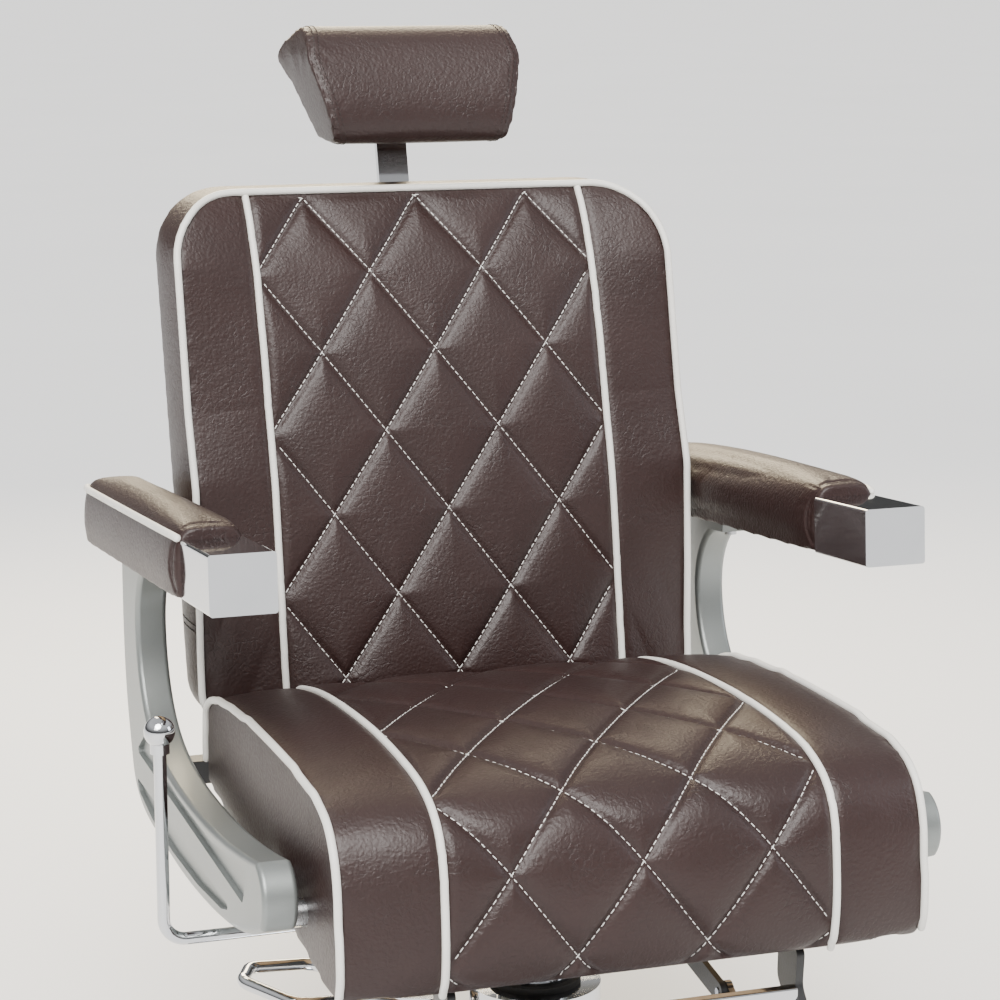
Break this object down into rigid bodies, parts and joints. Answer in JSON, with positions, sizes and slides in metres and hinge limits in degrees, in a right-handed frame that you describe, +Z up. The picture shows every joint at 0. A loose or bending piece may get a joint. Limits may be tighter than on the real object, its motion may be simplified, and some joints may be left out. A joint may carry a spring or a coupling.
{
  "type": "hydraulic barber chair",
  "caption": "Reclining hydraulic barber chair: round base, lift column with foot pedal, swivel seat, cast side frames, padded arm-rests, head-rest, foot-rest and release lever.",
  "frame": {"origin": "on the floor at the axis of the hydraulic column, the centre of the round base", "axes": "+Z up; the sitter faces -Y; +X is the sitter's left"},
  "size_m": [0.7565, 1.0564, 1.197],
  "materials": {
    "leather": "soft grained, low sheen, dark brown",
    "chrome": "mirror polished",
    "silver_paint": "satin silver enamel on a casting",
    "black_steel": "satin black",
    "bright_steel": "bright zinc plated",
    "black_rubber": "matte",
    "black_plastic": "matte moulded",
    "bearing_bronze": "satin bearing bronze",
    "plywood": "matte birch plywood",
    "white_piping": "smooth ivory piping and thread",
    "cast_alloy": "satin cast"
  },
  "bodies": {
    "base": {"base_plate": "black_steel", "base_cover": "chrome", "neck_ring": "chrome", "pump_body": "chrome", "pump_bolts": "bright_steel", "pump_gland": "chrome", "wiper_seal": "black_rubber", "pedal_ears": "chrome", "pedal_pin": "bright_steel"},
    "pedal": {"pedal_hub": "chrome", "pump_pedal": "chrome"},
    "plunger": {"pump_plunger": "bright_steel"},
    "ram": {"ram_tube": "chrome", "ram_flange": "bright_steel", "thrust_washer": "bearing_bronze"},
    "seat": {"swivel_plate": "black_steel", "swivel_spindle": "bright_steel", "swivel_bolts": "bright_steel", "seat_frame": "black_steel", "seat_board": "plywood", "seat_cushion": "leather", "arm_frame_left": "silver_paint", "arm_frame_right": "silver_paint", "arm_board_left": "plywood", "arm_board_right": "plywood", "arm_pad_left": "leather", "arm_pad_right": "leather", "arm_cap_left": "chrome", "arm_cap_right": "chrome", "arm_fasteners": "bright_steel", "back_hinge_pins": "bright_steel", "gas_bracket": "black_steel", "lever_brackets": "chrome", "lever_bushes": "bearing_bronze", "footrest_pins": "bright_steel"},
    "back": {"back_board": "plywood", "back_cushion": "leather", "back_rear_panel": "black_plastic", "back_bracket_left": "black_steel", "back_bracket_right": "black_steel", "back_cranks": "black_steel", "headrest_socket": "chrome", "back_screws": "bright_steel"},
    "knob": {"clamp_knob": "black_plastic"},
    "post": {"headrest_post": "chrome"},
    "headrest": {"headrest_pad": "leather", "headrest_plate": "black_steel", "headrest_tilt_pin": "bright_steel", "headrest_screws": "bright_steel"},
    "lever": {"lever_rod": "chrome", "lever_ball": "chrome", "release_cam": "bright_steel"},
    "gas_body": {"gas_cylinder": "black_steel"},
    "gas_piston": {"gas_rod": "bright_steel"},
    "footrest": {"footrest_arms": "black_steel", "footrest_crossbar": "chrome", "foot_tray": "cast_alloy", "foot_mat": "black_rubber", "tray_bolts": "bright_steel"},
    "link": {"footrest_link": "black_steel"}
  },
  "joints": [
    {"name": "pedal_press", "type": "hinge", "parent": "base", "child": "pedal", "pos_m": [-0.0877, 0.03905, 0.236], "axis": [-0.4067, -0.9135, 0], "range_deg": [0, 15], "stiffness_Nm_per_rad": 8, "springref_deg": -11.46},
    {"name": "plunger_travel", "type": "slide", "parent": "base", "child": "plunger", "axis": [0, 0, -1], "range_m": [0, 0.0106]},
    {"name": "ram_lift", "type": "slide", "parent": "base", "child": "ram", "axis": [0, 0, 1], "range_m": [0, 0.16]},
    {"name": "seat_swivel", "type": "hinge", "parent": "ram", "child": "seat", "pos_m": [0, 0, 0.4], "axis": [0, 0, 1], "continuous": true},
    {"name": "back_recline", "type": "hinge", "parent": "seat", "child": "back", "pos_m": [0, 0.273, 0.465], "axis": [-1, 0, 0], "range_deg": [0, 40]},
    {"name": "footrest_raise", "type": "hinge", "parent": "seat", "child": "footrest", "pos_m": [0, -0.222, 0.384], "axis": [-1, 0, 0], "range_deg": [0, 40]},
    {"name": "link_swing", "type": "hinge", "parent": "back", "child": "link", "pos_m": [0.1, 0.263, 0.407], "axis": [-1, 0, 0], "range_deg": [-40, 0]},
    {"name": "gas_swing", "type": "hinge", "parent": "seat", "child": "gas_body", "pos_m": [-0.11, -0.03, 0.4], "axis": [1, 0, 0], "range_deg": [0, 2.4]},
    {"name": "gas_stroke", "type": "slide", "parent": "gas_body", "child": "gas_piston", "axis": [0, -0.9969, -0.0786], "range_m": [0, 0.025]},
    {"name": "headrest_height", "type": "slide", "parent": "back", "child": "post", "axis": [0, 0.2453, 0.9694], "range_m": [0, 0.11]},
    {"name": "headrest_tilt", "type": "hinge", "parent": "post", "child": "headrest", "pos_m": [0, 0.486, 1.104], "axis": [1, 0, 0], "range_deg": [-20, 20]},
    {"name": "knob_turn", "type": "hinge", "parent": "back", "child": "knob", "pos_m": [0, 0.44517, 0.905], "axis": [0, 0.9694, -0.2453], "range_deg": [0, 270]},
    {"name": "lever_pull", "type": "hinge", "parent": "seat", "child": "lever", "pos_m": [-0.24, -0.055, 0.372], "axis": [-1, 0, 0], "range_deg": [0, 20], "stiffness_Nm_per_rad": 3, "springref_deg": -8.59}
  ],
  "couplings": [
    {"joint": "plunger_travel", "follows": "pedal_press", "m_per_rad": 0.04},
    {"joint": "footrest_raise", "follows": "back_recline", "ratio": 1},
    {"joint": "link_swing", "follows": "back_recline", "ratio": -1},
    {"joint": "gas_swing", "follows": "back_recline", "ratio": 0.05753},
    {"joint": "gas_stroke", "follows": "back_recline", "m_per_rad": 0.03541}
  ]
}
